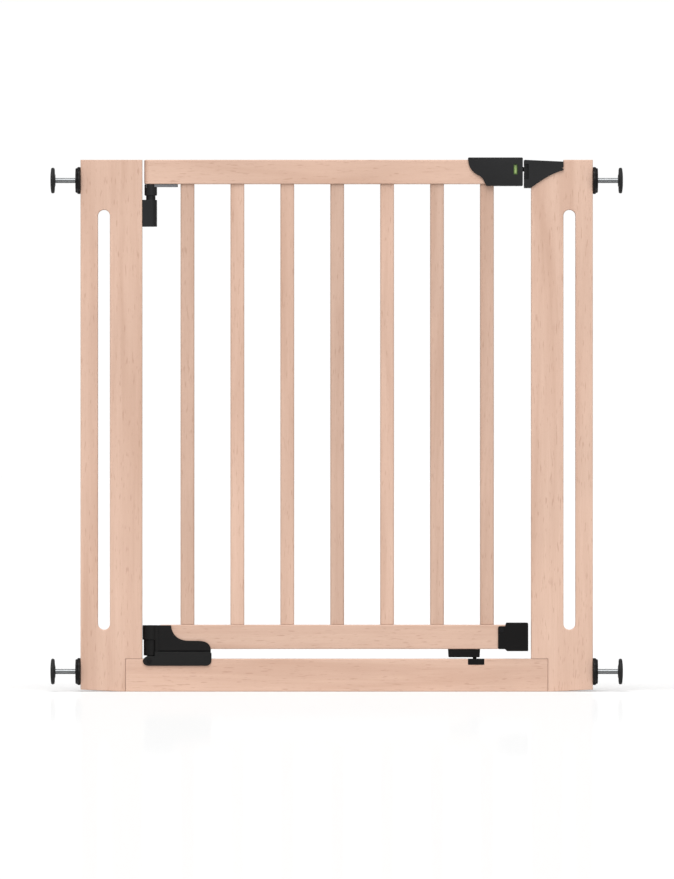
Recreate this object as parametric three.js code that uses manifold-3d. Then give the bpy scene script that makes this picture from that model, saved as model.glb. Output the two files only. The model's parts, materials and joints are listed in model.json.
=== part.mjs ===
// Pressure-fit wooden baby gate: two slotted side panels and a base bar make the frame, and a
// barred door hangs between them on two pivots. Four threaded spindles with handwheels press
// rubber-faced pads against the walls.
//
// Millimetres. +X to the right, +Y away from the viewer, +Z up. The origin is on the floor, under
// the middle of the gate, in the middle of the boards' thickness.

import * as THREE from 'three';
import { mergeVertices } from 'three/addons/utils/BufferGeometryUtils.js';
import Module from 'manifold-3d';

const wasm = await Module();
wasm.setup();

// ---- Driving dimensions ----

const GAP = 0.3; // between pieces that touch
const EASE = 1.5; // chamfer along the edges of the boards

const BOARD_HALF = 10; // half the thickness of panels, rails and base bar
const PLASTIC_HALF = 12.3; // half the depth of the mouldings that wrap a board

const PANEL = { inner: 297.9, outer: 392.5, height: 814.8, relief: 3, reliefFrom: 331 };
const SLOT = { centre: 356.7, radius: 9.2, low: 94.6, high: 738.2 };
const BASE = { end: 323.7, height: 50.2 };

const AXIS_X = -285; // the door's pivot line, which runs along Z through Y = 0
const TOP_RAIL = { low: 777.7, high: 814.8, right: 246 };
const BOTTOM_RAIL = { left: -270.3, low: 65.2, high: 102.2, right: 290.2 };
const BAR = { count: 7, width: 21.2, depth: 14, pitch: 76.5, middle: 0.8, corner: 3 };
const TENON = { width: 15, depth: 9, length: 12 };

const SPINDLE = { top: 783.2, bottom: 30.5, radius: 4, inner: 350, outer: 434, bore: 4.5, boreEnd: 329 };
const WHEEL = { inner: 392.8, outer: 400.4, radius: 21.4, bore: 4.4, lobes: 10, lobeDepth: 0.9 };
const PAD_FACE = 9; // radius of the flat middle of a pad's slightly domed face
const PAD = { inner: 431.2, outer: 438.7, radius: 19.8, boreEnd: 434.3 };

const TOP_HINGE = { radius: 9.7, bracketLow: 712.4, bracketHigh: 753.5, barrelLow: 759.3 };
const TOP_NECK = { radius: 7.25, length: 17.5 };
const PLATE = { low: 773.1, left: -292, right: -243.5, halfDepth: 7.5 };
const BARREL = { low: 55, step: 79.5, high: 101.6, narrow: 10.9, wide: 12.5, socket: 6.3, socketTop: 63 };
const ARM = { right: -193, shoulder: 77.8, shoulderLeft: -225.5, shoulderRight: -212.3, topRight: -253.6 };
const FOOT = { left: -297, right: -191.9, low: 39.5, lobeTop: 54, top: 60.7, stepX: -279, post: 6 };

const LATCH = { left: 201.2, right: 285.2, low: 774.8, high: 818.3, half: 13, wall: 2.7 };
const LATCH_WAIST = { x: 219, z: 789.9, footX: 229.8 };
const LATCH_BOSS = { x: 277.6, z: 781.4, radius: 3.9 };
const BOLT = { low: 797, high: 804, half: 3.5, tip: 293.4 };
const CARRIAGE = { left: 256, right: 276, low: 789, high: 812, half: 8.6 };
const SPRING = { z: 800.5, coil: 3, wire: 0.45, turns: 6, right: 269.5, bore: 4.2 };
const THUMB = { left: 250, right: 277, low: 790.5, high: 810.5, stemLeft: 261, stemRight: 269 };
const THUMB_RIB = { half: 0.8, pitch: 4.5 };
const SLIDER_SLOT = { left: 252.4, right: 269.6, low: 796.4, high: 803.6 };
const WINDOW = { left: 270.8, right: 277.2, low: 792, high: 808 };
const KEEP = { left: 287, right: 347.6, low: 771.6, high: 814.8, highRight: 812 };
const KEEP_LINE = { tipLow: 798.6, footRight: 297 };
const KEEP_GROOVE = { left: 289, right: 293.9, low: 785.2, high: 808.3, depth: 6 };

const END_CAP = { collar: 247.2, step: 259.4, right: 293.5, low: 61.9, high: 105.5 };
const STOP = { left: 170.6, right: 219.8, low: 52.5, half: 9 };
const STOP_PIN = { x: 211.5, radius: 3, low: 49, high: 66 };
const STOP_BLOCK = { left: 201.3, right: 226, low: 41.2, grooveLow: 48 };

const WOOD_SCREW = { head: 3.8, headDepth: 2.4, shank: 1.9 };

// ---- Materials ----

function material(color, roughness, metalness = 0) {
  return new THREE.MeshStandardMaterial({ color, roughness, metalness });
}
const beech = material('#dfbca8', 0.55);
const blackPlastic = material('#2d2d2e', 0.45);
const steel = material('#c4c6c8', 0.25, 1);
const darkSteel = material('#4a4a4c', 0.4, 1);
const rubber = material('#1d1d1e', 0.85);
const greenPlastic = material('#8fb45a', 0.5);

// ---- Solids ----

function toSolid(geometry) {
  const bare = geometry.clone();
  bare.deleteAttribute('normal');
  bare.deleteAttribute('uv');
  const merged = mergeVertices(bare, 1e-4);
  const vertProperties = new Float32Array(merged.attributes.position.array);
  const triVerts = new Uint32Array(merged.index.array);
  return new wasm.Manifold(new wasm.Mesh({ numProp: 3, vertProperties, triVerts }));
}

function toGeometry(solid) {
  const mesh = solid.getMesh();
  const geometry = new THREE.BufferGeometry();
  geometry.setAttribute('position', new THREE.BufferAttribute(mesh.vertProperties, 3));
  geometry.setIndex(new THREE.BufferAttribute(mesh.triVerts, 1));
  return geometry;
}

function join(...geometries) {
  const [first, ...others] = geometries.map(toSolid);
  return toGeometry(others.reduce((whole, other) => whole.add(other), first));
}

function cut(geometry, ...tools) {
  return toGeometry(tools.map(toSolid).reduce((left, tool) => left.subtract(tool), toSolid(geometry)));
}

// The same form on the other side of the gate's middle plane, with its faces turned out again.
function mirrored(geometry) {
  const copy = mergeVertices(geometry.deleteAttribute('normal').deleteAttribute('uv'), 1e-4);
  copy.scale(-1, 1, 1);
  const index = Array.from(copy.index.array);
  for (let i = 0; i < index.length; i += 3) {
    [index[i], index[i + 1]] = [index[i + 1], index[i]];
  }
  copy.setIndex(index);
  return copy;
}

function block([x0, x1], [y0, y1], [z0, z1]) {
  const box = new THREE.BoxGeometry(x1 - x0, y1 - y0, z1 - z0);
  return box.translate((x0 + x1) / 2, (y0 + y1) / 2, (z0 + z1) / 2);
}

// A front outline (its points are X and Z) with its thickness along Y.
function frontPlate(outline, [y0, y1], chamfer = 0, curveSegments = 8) {
  const geometry = new THREE.ExtrudeGeometry(outline, extrusion(y1 - y0, chamfer, curveSegments));
  return geometry.rotateX(Math.PI / 2).translate(0, y1 - chamfer, 0);
}

// A plan outline (its points are X and Y) with its height along Z.
function planPlate(outline, [z0, z1], chamfer = 0, curveSegments = 12) {
  const geometry = new THREE.ExtrudeGeometry(outline, extrusion(z1 - z0, chamfer, curveSegments));
  return geometry.translate(0, 0, z0 + chamfer);
}

function extrusion(length, chamfer, curveSegments) {
  return {
    depth: length - 2 * chamfer,
    curveSegments,
    bevelEnabled: chamfer > 0,
    bevelThickness: chamfer,
    bevelSize: chamfer,
    bevelOffset: -chamfer,
    bevelSegments: 1,
  };
}

function rectangle(x0, x1, y0, y1) {
  return outlineOf([[x0, y0], [x1, y0], [x1, y1], [x0, y1]]);
}

function outlineOf(points) {
  return new THREE.Shape(points.map(([x, y]) => new THREE.Vector2(x, y)));
}

function roundedRectangle(width, depth, radius) {
  const x = width / 2 - radius;
  const y = depth / 2 - radius;
  const outline = new THREE.Shape();
  outline.absarc(x, y, radius, 0, Math.PI / 2);
  outline.absarc(-x, y, radius, Math.PI / 2, Math.PI);
  outline.absarc(-x, -y, radius, Math.PI, 1.5 * Math.PI);
  outline.absarc(x, -y, radius, 1.5 * Math.PI, 2 * Math.PI);
  return outline;
}

// A solid of revolution about Z, placed at x, from [radius, z] points that start and end on Z.
function turned(points, x = 0, segments = 32) {
  const profile = points.map(([radius, z]) => new THREE.Vector2(radius, z));
  return new THREE.LatheGeometry(profile, segments).rotateX(Math.PI / 2).translate(x, 0, 0);
}

function upright(radius, [z0, z1], x, y = 0, segments = 24) {
  const cylinder = new THREE.CylinderGeometry(radius, radius, z1 - z0, segments);
  return cylinder.rotateX(Math.PI / 2).translate(x, y, (z0 + z1) / 2);
}

function alongX(radius, [x0, x1], y, z, segments = 16) {
  const cylinder = new THREE.CylinderGeometry(radius, radius, x1 - x0, segments);
  return cylinder.rotateZ(Math.PI / 2).translate((x0 + x1) / 2, y, z);
}

// ---- Wood screws ----
// A countersunk screw is turned about Z with its head's face at 0 and its point below. The hole
// that takes it is the same form, one gap wider and one gap deeper, and open above the head.

const TURNS = {
  down: (geometry) => geometry,
  up: (geometry) => geometry.rotateX(Math.PI),
  back: (geometry) => geometry.rotateX(Math.PI / 2),
  forward: (geometry) => geometry.rotateX(-Math.PI / 2),
  left: (geometry) => geometry.rotateY(Math.PI / 2),
};

function screwForm(length, grow) {
  const { head, headDepth, shank } = WOOD_SCREW;
  const points = [
    [0, -length - grow],
    [shank + grow, -length - grow + shank],
    [shank + grow, -headDepth - grow],
    [head + grow, -grow],
  ];
  const above = 12;
  const top = grow > 0 ? [[head + grow, above], [0, above]] : [[0, 0]];
  return turned([...points, ...top], 0, 10);
}

function screw({ length, into }) {
  return TURNS[into](screwForm(length, 0));
}

function screwHole({ at, length, into }) {
  return TURNS[into](screwForm(length, GAP)).translate(...at);
}

const SCREWS = {
  base_screw_left_lower: { at: [-310.4, BOARD_HALF, 14], into: 'forward', length: 16 },
  base_screw_left_upper: { at: [-310.4, BOARD_HALF, 38], into: 'forward', length: 16 },
  base_screw_right_lower: { at: [310.4, BOARD_HALF, 14], into: 'forward', length: 16 },
  base_screw_right_upper: { at: [310.4, BOARD_HALF, 38], into: 'forward', length: 16 },
  bracket_screw_lower: { at: [-285, 0, 718], into: 'left', length: 26 },
  bracket_screw_upper: { at: [-285, 0, 729], into: 'left', length: 26 },
  foot_screw_front: { at: [-287.5, -PLASTIC_HALF, 46.5], into: 'back', length: 14 },
  foot_screw_rear: { at: [-207, PLASTIC_HALF, 45.4], into: 'forward', length: 14 },
  keep_screw_inner: { at: [306, 0, 813.4], into: 'down', length: 50 },
  keep_screw_outer: { at: [322, 0, 812.7], into: 'down', length: 44 },
  stop_block_screw: { at: [221, 0, BASE.height], into: 'down', length: 24 },
  plate_screw_inner: { at: [-263.5, 0, PLATE.low], into: 'up', length: 18 },
  plate_screw_outer: { at: [-251, 0, PLATE.low], into: 'up', length: 18 },
  hinge_cover_screw_upper: { at: [-262, PLASTIC_HALF, 89], into: 'forward', length: 14 },
  hinge_cover_screw_lower: { at: [-210, PLASTIC_HALF, 71], into: 'forward', length: 14 },
  latch_cover_screw_rail: { at: [234, LATCH.half, 806], into: 'forward', length: 15 },
  latch_cover_screw_boss: { at: [LATCH_BOSS.x, LATCH.half, LATCH_BOSS.z], into: 'forward', length: 13 },
  end_cap_screw: { at: [252.2, -PLASTIC_HALF, 94.6], into: 'back', length: 14 },
  stop_housing_screw: { at: [182, 0, STOP.low], into: 'up', length: 24 },
};

// The holes of every screw whose name starts with one of these.
function holesFor(...starts) {
  const names = Object.keys(SCREWS).filter((name) => starts.some((start) => name.startsWith(start)));
  return names.map((name) => screwHole(SCREWS[name]));
}

// ---- Frame: side panels and base bar ----

// The edge where the panel's corner is cut away for the latch keep, from the top down to the
// panel's inner edge. The keep's own lower edge follows the same line, one gap away.
function keepLine(outline, away) {
  outline.lineTo(KEEP.right + away, KEEP_LINE.tipLow - away);
  outline.bezierCurveTo(333 + away, 795.5 - away, 316 + away, 785.5 - away, 298.3 + away, 772.2 - away);
}

function panelOutline(side) {
  const { inner, outer, height, relief, reliefFrom } = PANEL;
  const outline = new THREE.Shape();
  outline.moveTo(inner, 0);
  outline.lineTo(reliefFrom, 0);
  outline.lineTo(outer, relief);
  outline.lineTo(outer, height);
  if (side === 'right') {
    outline.lineTo(KEEP.right + GAP, height);
    keepLine(outline, GAP);
    outline.lineTo(inner, KEEP.low - GAP);
  } else {
    outline.lineTo(inner, height);
  }
  const slot = new THREE.Path();
  slot.absarc(SLOT.centre, SLOT.high - SLOT.radius, SLOT.radius, 0, Math.PI);
  slot.absarc(SLOT.centre, SLOT.low + SLOT.radius, SLOT.radius, Math.PI, 2 * Math.PI);
  outline.holes.push(slot);
  return outline;
}

function sidePanel(side) {
  const board = frontPlate(panelOutline(side), [-BOARD_HALF, BOARD_HALF], EASE);
  const lap = block(
    [PANEL.inner - 5, BASE.end + GAP],
    [-BOARD_HALF - 5, GAP / 2],
    [-5, BASE.height + GAP],
  );
  const bores = [SPINDLE.top, SPINDLE.bottom].map((z) =>
    alongX(SPINDLE.bore, [SPINDLE.boreEnd, PANEL.outer + 5], 0, z),
  );
  const cuts = [lap, ...bores];
  if (side === 'right') {
    return cut(board, ...cuts, ...holesFor('base_screw_right', 'keep_screw'));
  }
  const [leftBoard, ...leftCuts] = [board, ...cuts].map(mirrored);
  return cut(leftBoard, ...leftCuts, ...holesFor('base_screw_left', 'bracket_screw'));
}

function baseBar() {
  const { end, height } = BASE;
  const bar = frontPlate(rectangle(-end, end, 0, height), [-BOARD_HALF, BOARD_HALF], EASE);
  const laps = [-1, 1].map((side) => {
    const inner = side * (PANEL.inner - GAP);
    const outer = side * (end + 5);
    const x = [Math.min(inner, outer), Math.max(inner, outer)];
    return block(x, [-GAP / 2, BOARD_HALF + 5], [-5, height + 5]);
  });
  const notch = block(
    [STOP_BLOCK.left - GAP, STOP_BLOCK.right + GAP],
    [-BOARD_HALF - 5, BOARD_HALF + 5],
    [STOP_BLOCK.low - GAP, height + 5],
  );
  return cut(bar, ...laps, notch, ...holesFor('base_screw', 'foot_screw', 'stop_block_screw'));
}

// ---- Door: rails and bars ----

function barPositions() {
  const first = BAR.middle - (BAR.pitch * (BAR.count - 1)) / 2;
  return Array.from({ length: BAR.count }, (_, i) => first + i * BAR.pitch);
}

function mortises(faceZ, direction) {
  const deep = faceZ + direction * (TENON.length + GAP);
  const mouth = faceZ - direction * 5;
  const z = [Math.min(deep, mouth), Math.max(deep, mouth)];
  const halfWidth = TENON.width / 2 + GAP;
  const halfDepth = TENON.depth / 2 + GAP;
  return barPositions().map((x) => block([x - halfWidth, x + halfWidth], [-halfDepth, halfDepth], z));
}

// The top rail's hinge end is a half round about the pivot line, so that it turns in its own space.
function topRail() {
  const { low, high, right } = TOP_RAIL;
  const outline = new THREE.Shape();
  outline.moveTo(right, -BOARD_HALF);
  outline.lineTo(right, BOARD_HALF);
  outline.absarc(AXIS_X, 0, BOARD_HALF, Math.PI / 2, 1.5 * Math.PI);
  const rail = planPlate(outline, [low, high], EASE);
  return cut(rail, ...mortises(low, 1), ...holesFor('plate_screw', 'latch_cover_screw_rail'));
}

function bottomRail() {
  const { left, right, low, high } = BOTTOM_RAIL;
  const rail = planPlate(rectangle(left, right, -BOARD_HALF, BOARD_HALF), [low, high], EASE);
  const pinRoom = upright(STOP_PIN.radius + 0.4, [low - 5, low + 9], STOP_PIN.x);
  const holes = holesFor('hinge_cover_screw', 'end_cap_screw', 'stop_housing_screw');
  return cut(rail, ...mortises(high, -1), pinRoom, ...holes);
}

function bar() {
  const low = BOTTOM_RAIL.high + GAP;
  const high = TOP_RAIL.low - GAP;
  const shaft = planPlate(roundedRectangle(BAR.width, BAR.depth, BAR.corner), [low, high], 0, 3);
  const tenon = block(
    [-TENON.width / 2, TENON.width / 2],
    [-TENON.depth / 2, TENON.depth / 2],
    [BOTTOM_RAIL.high - TENON.length, TOP_RAIL.low + TENON.length],
  );
  return join(shaft, tenon);
}

// ---- Top hinge ----

function topHingeBracket() {
  const { radius, bracketLow, bracketHigh } = TOP_HINGE;
  const outline = new THREE.Shape();
  outline.moveTo(-PANEL.inner + GAP, radius);
  outline.lineTo(-PANEL.inner + GAP, -radius);
  outline.absarc(AXIS_X, 0, radius, -Math.PI / 2, Math.PI / 2);
  const bore = upright(TOP_NECK.radius + GAP, [bracketHigh - TOP_NECK.length - 1, bracketHigh + 5], AXIS_X);
  const body = planPlate(outline, [bracketLow, bracketHigh], 0.8, 10);
  return cut(body, bore, ...holesFor('bracket_screw'));
}

function topHingeBarrel() {
  const { radius, bracketHigh, barrelLow } = TOP_HINGE;
  const neck = TOP_NECK.radius;
  const top = TOP_RAIL.low - GAP;
  const tip = bracketHigh - TOP_NECK.length;
  const body = turned([
    [0, tip],
    [neck - 1, tip],
    [neck, tip + 1],
    [neck, barrelLow],
    [radius - 1.5, barrelLow],
    [radius, barrelLow + 1.5],
    [radius, top],
    [0, top],
  ], AXIS_X);
  const halfSeat = PLATE.halfDepth + GAP;
  const seat = block([PLATE.left - GAP, AXIS_X + 20], [-halfSeat, halfSeat], [PLATE.low - GAP, top + 5]);
  return cut(body, seat);
}

function topHingePlate() {
  const { left, right, low, halfDepth } = PLATE;
  const plate = planPlate(rectangle(left, right, -halfDepth, halfDepth), [low, TOP_RAIL.low - GAP], 0.4);
  return cut(plate, ...holesFor('plate_screw'));
}

// ---- Bottom hinge ----

function bottomHingeCover() {
  const { low, step, high, narrow, wide, socket, socketTop } = BARREL;
  const profile = [[0, low], [narrow, low], [narrow, step], [wide, step], [wide, high], [0, high]];
  const barrel = turned(profile, AXIS_X, 32);
  const web = FOOT.top + GAP;
  const { right, shoulder, shoulderLeft, shoulderRight, topRight } = ARM;
  const outline = new THREE.Shape();
  outline.moveTo(AXIS_X, web);
  outline.lineTo(right, web);
  outline.lineTo(right, web + 3);
  outline.bezierCurveTo(right, web + 11.5, right - 6.2, shoulder, shoulderRight, shoulder);
  outline.lineTo(shoulderLeft, shoulder);
  outline.bezierCurveTo(topRight + 10.6, shoulder, topRight + 1.1, shoulder + 9.2, topRight, high);
  outline.lineTo(AXIS_X, high);
  const arm = frontPlate(outline, [-PLASTIC_HALF, PLASTIC_HALF], 0.6);
  const pocket = block(
    [BOTTOM_RAIL.left - GAP, 0],
    [-BOARD_HALF - GAP, BOARD_HALF + GAP],
    [BOTTOM_RAIL.low - GAP, high + 5],
  );
  const clearance = cut(
    upright(wide + 30, [low - 5, web], AXIS_X, 0, 32),
    upright(narrow, [low - 10, web + 5], AXIS_X, 0, 32),
  );
  const bore = upright(socket, [low - 5, socketTop], AXIS_X);
  return cut(join(barrel, arm), clearance, pocket, bore, ...holesFor('hinge_cover_screw'));
}

function bottomHingeFoot() {
  const { left, right, low, lobeTop, top, stepX, post } = FOOT;
  const upper = 3;
  const lower = 8;
  const lobe = (lobeTop - low) / 2;
  const lobeX = left + lobe + 1.5;
  const outline = new THREE.Shape();
  outline.moveTo(stepX, lobeTop);
  outline.lineTo(stepX, top);
  outline.absarc(right - upper, top - upper, upper, Math.PI / 2, 0, true);
  outline.absarc(right - lower, low + lower, lower, 0, -Math.PI / 2, true);
  outline.lineTo(lobeX, low);
  outline.absellipse(lobeX, low + lobe, lobeX - left, lobe, -Math.PI / 2, -1.5 * Math.PI, true);
  const body = frontPlate(outline, [-PLASTIC_HALF, PLASTIC_HALF], 0.6);
  const inside = BOARD_HALF + GAP;
  const saddle = block([left - 5, right + 5], [-inside, inside], [low - 5, BASE.height + GAP]);
  const turning = upright(BARREL.narrow + GAP + 0.1, [lobeTop, top + 5], AXIS_X, 0, 32);
  const pivot = upright(post, [lobeTop - 1, BARREL.socketTop - 1], AXIS_X);
  const shell = cut(body, saddle, turning, ...holesFor('foot_screw'));
  return join(shell, pivot);
}

// ---- Latch ----

function latchOutline() {
  const { left, right, low, high } = LATCH;
  const { x, z, footX } = LATCH_WAIST;
  const outline = new THREE.Shape();
  outline.moveTo(right, low);
  outline.lineTo(right, high);
  outline.lineTo(left, high);
  outline.bezierCurveTo(left, z + 13.1, left + 6.4, z + 5.6, x, z);
  outline.bezierCurveTo(x + 6.8, z - 3.7, footX - 4.5, z - 8.9, footX, low);
  return outline;
}

// Front and rim of the housing in one moulding, open at the back and where the rail enters.
function latchHousing() {
  const { left, right, low, half, wall } = LATCH;
  const rearFace = half - wall;
  const body = frontPlate(latchOutline(), [-half, rearFace - GAP], 0);
  const railRoom = [TOP_RAIL.low - GAP, TOP_RAIL.high + GAP];
  const room = block([left - 5, right - wall], [-half + wall, half], railRoom);
  const bossRound = circle(LATCH_BOSS.x, LATCH_BOSS.z, LATCH_BOSS.radius);
  const boss = frontPlate(bossRound, [-half + 1, rearFace - GAP]);
  const boltHalf = BOLT.half + GAP;
  const bolt = block([right - 5, right + 5], [-boltHalf, boltHalf], [BOLT.low - GAP, BOLT.high + GAP]);
  const front = [-half - 5, -half + wall + 1];
  const window = block([WINDOW.left, WINDOW.right], front, [WINDOW.low, WINDOW.high]);
  const lastBar = barPositions().at(-1) + BAR.width / 2 + GAP;
  const barRoom = block([left - 5, lastBar], [-BAR.depth / 2 - GAP, half], [low - 5, TOP_RAIL.low]);
  const holes = holesFor('latch_cover_screw_boss');
  return cut(join(cut(body, room), boss), bolt, window, barRoom, ...holes);
}

function circle(x, z, radius) {
  const outline = new THREE.Shape();
  outline.absarc(x, z, radius, 0, 2 * Math.PI);
  return outline;
}

function latchRearCover() {
  const { half, wall } = LATCH;
  const plate = frontPlate(latchOutline(), [half - wall, half], 0);
  const { left, right, low, high } = SLIDER_SLOT;
  const slot = block([left, right], [0, half + 5], [low, high]);
  return cut(plate, slot, ...holesFor('latch_cover_screw'));
}

function latchBolt() {
  const { left, right, low, high, half } = CARRIAGE;
  const carriage = block([left, right], [-half, half], [low, high]);
  const tongue = block([right - 1, BOLT.tip], [-BOLT.half, BOLT.half], [BOLT.low, BOLT.high]);
  const springRoom = alongX(SPRING.bore, [left - 5, SPRING.right + 0.5], 0, SPRING.z, 16);
  return cut(join(carriage, tongue), springRoom);
}

function latchSpring() {
  const { z, coil, wire, turns, right } = SPRING;
  const steps = turns * 8;
  const left = TOP_RAIL.right + 0.8;
  const points = Array.from({ length: steps + 1 }, (_, i) => {
    const share = i / steps;
    const angle = share * turns * 2 * Math.PI;
    return new THREE.Vector3(share * (right - left), coil * Math.cos(angle), coil * Math.sin(angle));
  });
  const spring = new THREE.ExtrudeGeometry(circle(0, 0, wire), {
    steps,
    curveSegments: 3,
    bevelEnabled: false,
    extrudePath: new THREE.CatmullRomCurve3(points),
  });
  return spring.translate(left, 0, z);
}

function thumbSlide() {
  const { left, right, low, high, stemLeft, stemRight } = THUMB;
  const face = LATCH.half + GAP;
  const pad = frontPlate(rectangle(left, right, low, high), [face, face + 2.4], 0.6);
  const stem = block([stemLeft, stemRight], [CARRIAGE.half + GAP, face + 1], [BOLT.low, BOLT.high - 1]);
  const middle = (left + right) / 2;
  const ribs = [-2, -1, 0, 1, 2].map((step) => {
    const x = middle + step * THUMB_RIB.pitch;
    return block([x - THUMB_RIB.half, x + THUMB_RIB.half], [face + 1, face + 3.6], [low + 2.5, high - 2.5]);
  });
  return join(pad, stem, ...ribs);
}

// The pane reaches a little past the window on every side, between the housing and the carriage.
function lockIndicator() {
  const lap = 1.6;
  return block(
    [WINDOW.left - lap, WINDOW.right + lap],
    [-LATCH.half + LATCH.wall + GAP, -CARRIAGE.half - GAP],
    [WINDOW.low - lap, WINDOW.high + lap],
  );
}

// The keep fills the cut-away corner of the right panel. Its pocket takes the bolt's tip, and is
// open on the side towards which the door swings.
function latchKeep() {
  const { left, right, low, high, highRight } = KEEP;
  const outline = new THREE.Shape();
  outline.moveTo(left + 1, low);
  outline.lineTo(left, low + 1);
  outline.lineTo(left, high - 1);
  outline.lineTo(left + 1, high);
  outline.lineTo(right, highRight);
  outline.lineTo(right, 804.1);
  outline.lineTo(right - 4.7, 801.7);
  outline.lineTo(right, 801);
  keepLine(outline, 0);
  outline.lineTo(KEEP_LINE.footRight, low);
  const body = frontPlate(outline, [-PLASTIC_HALF, PLASTIC_HALF], 0.5);
  const boltRoom = [BOLT.low - 2, BOLT.high + 2];
  const pocket = block([left - 5, BOLT.tip + 1.6], [-BOLT.half - 1, PLASTIC_HALF + 5], boltRoom);
  const { depth, ...groove } = KEEP_GROOVE;
  const front = [-PLASTIC_HALF - 5, -PLASTIC_HALF + depth];
  const grooveRoom = block([groove.left, groove.right], front, [groove.low, groove.high]);
  return cut(body, pocket, grooveRoom, ...holesFor('keep_screw'));
}

// ---- Rail end cap ----

function endCap() {
  const { collar, step, right, low, high } = END_CAP;
  const collarLow = BOTTOM_RAIL.low - 0.2;
  const collarHigh = BOTTOM_RAIL.high - 2.1;
  const outline = outlineOf([
    [collar, collarLow + 2],
    [collar + 2, collarLow],
    [step - 1, collarLow],
    [step + 2, low],
    [right - 1, low],
    [right, low + 1],
    [right, high - 2],
    [right - 2, high],
    [step + 1, high],
    [step - 1, collarHigh],
    [collar + 3, collarHigh],
    [collar, collarHigh - 3],
  ]);
  const body = frontPlate(outline, [-PLASTIC_HALF, PLASTIC_HALF], 0.6);
  const pocket = block(
    [collar - 5, BOTTOM_RAIL.right + GAP],
    [-BOARD_HALF - GAP, BOARD_HALF + GAP],
    [BOTTOM_RAIL.low - GAP, BOTTOM_RAIL.high + GAP],
  );
  return cut(body, pocket, ...holesFor('end_cap_screw'));
}

// ---- Swing stop ----

function stopHousing() {
  const { left, right, low, half } = STOP;
  const { x, radius } = STOP_PIN;
  const high = BOTTOM_RAIL.low - GAP;
  const outline = outlineOf([[left + 0.7, low], [right - 0.7, low], [right, high], [left, high]]);
  const body = frontPlate(outline, [-half, half], 0.6);
  const bore = upright(radius + GAP, [low - 5, high + 5], x);
  const tabRoom = block([x - 2.2, x + 2.2], [0, half + 5], [low + 2.2, high + 5]);
  return cut(body, bore, tabRoom, ...holesFor('stop_housing_screw'));
}

function stopPin() {
  const { x, radius, low, high } = STOP_PIN;
  const profile = [[0, low], [radius - 1, low], [radius, low + 1], [radius, high], [0, high]];
  const pin = turned(profile, x, 20);
  const tab = block([x - 1.8, x + 1.8], [1, STOP.half + 4], [STOP.low + 2.6, STOP.low + 5.6]);
  return join(pin, tab);
}

function stopBlock() {
  const { left, right, low, grooveLow } = STOP_BLOCK;
  const half = BOARD_HALF + 0.4;
  const body = frontPlate(rectangle(left, right, low, BASE.height), [-half, half], 0.4);
  const halfGroove = STOP_PIN.radius + 0.8;
  const groove = block(
    [STOP_PIN.x - halfGroove, STOP_PIN.x + halfGroove],
    [-STOP_PIN.radius - 0.6, BOARD_HALF + 5],
    [grooveLow, BASE.height + 5],
  );
  return cut(body, groove, ...holesFor('stop_block_screw'));
}

// ---- Pressure spindles ----
// Each is built about X for the right-hand side, with its own axis at Y = Z = 0.

function handwheel() {
  const { inner, outer, radius, bore, lobes, lobeDepth } = WHEEL;
  const pointsPerLobe = 4;
  const count = lobes * pointsPerLobe;
  const rim = Array.from({ length: count }, (_, i) => {
    const angle = (i / count) * 2 * Math.PI;
    const reach = radius - lobeDepth * (0.5 + 0.5 * Math.cos(lobes * angle));
    return [reach * Math.cos(angle), reach * Math.sin(angle)];
  });
  const outline = outlineOf(rim);
  const hole = new THREE.Path();
  hole.absarc(0, 0, bore, 0, 2 * Math.PI);
  outline.holes.push(hole);
  return planPlate(outline, [inner, outer], 1.4, 8).rotateY(Math.PI / 2);
}

function spindle() {
  const { radius, inner, outer } = SPINDLE;
  const profile = [[0, inner], [radius - 1.2, inner], [radius, inner + 1.2], [radius, outer], [0, outer]];
  return turned(profile, 0, 16).rotateY(Math.PI / 2);
}

function wallPad() {
  const { inner, outer, radius, boreEnd } = PAD;
  const bore = SPINDLE.radius + GAP;
  return turned([
    [0, boreEnd],
    [bore, boreEnd],
    [bore, inner],
    [radius - 4, inner + 0.6],
    [radius, inner + 2.2],
    [radius, outer - 2],
    [radius - 1, outer - 0.9],
    [PAD_FACE, outer],
    [0, outer],
  ], 0, 28).rotateY(Math.PI / 2);
}

// ---- Assembly ----

const gate = new THREE.Group();
const frame = new THREE.Group();
const door = new THREE.Group();
gate.add(frame, door);

function place(parent, name, geometry, finish) {
  const mesh = new THREE.Mesh(geometry, finish);
  mesh.name = name;
  parent.add(mesh);
  return mesh;
}

place(frame, 'left_panel', sidePanel('left'), beech);
place(frame, 'right_panel', sidePanel('right'), beech);
place(frame, 'base_bar', baseBar(), beech);
place(frame, 'top_hinge_bracket', topHingeBracket(), blackPlastic);
place(frame, 'bottom_hinge_foot', bottomHingeFoot(), blackPlastic);
place(frame, 'latch_keep', latchKeep(), blackPlastic);
place(frame, 'stop_block', stopBlock(), blackPlastic);

place(door, 'top_rail', topRail(), beech);
place(door, 'bottom_rail', bottomRail(), beech);
barPositions().forEach((x, i) => {
  place(door, `bar_${i + 1}`, bar(), beech).position.setX(x);
});
place(door, 'top_hinge_barrel', topHingeBarrel(), blackPlastic);
place(door, 'top_hinge_plate', topHingePlate(), darkSteel);
place(door, 'bottom_hinge_cover', bottomHingeCover(), blackPlastic);
place(door, 'latch_housing', latchHousing(), blackPlastic);
place(door, 'latch_rear_cover', latchRearCover(), blackPlastic);
place(door, 'latch_bolt', latchBolt(), blackPlastic);
place(door, 'latch_spring', latchSpring(), steel);
place(door, 'thumb_slide', thumbSlide(), blackPlastic);
place(door, 'lock_indicator', lockIndicator(), greenPlastic);
place(door, 'end_cap', endCap(), blackPlastic);
place(door, 'stop_housing', stopHousing(), blackPlastic);
place(door, 'stop_pin', stopPin(), blackPlastic);

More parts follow.
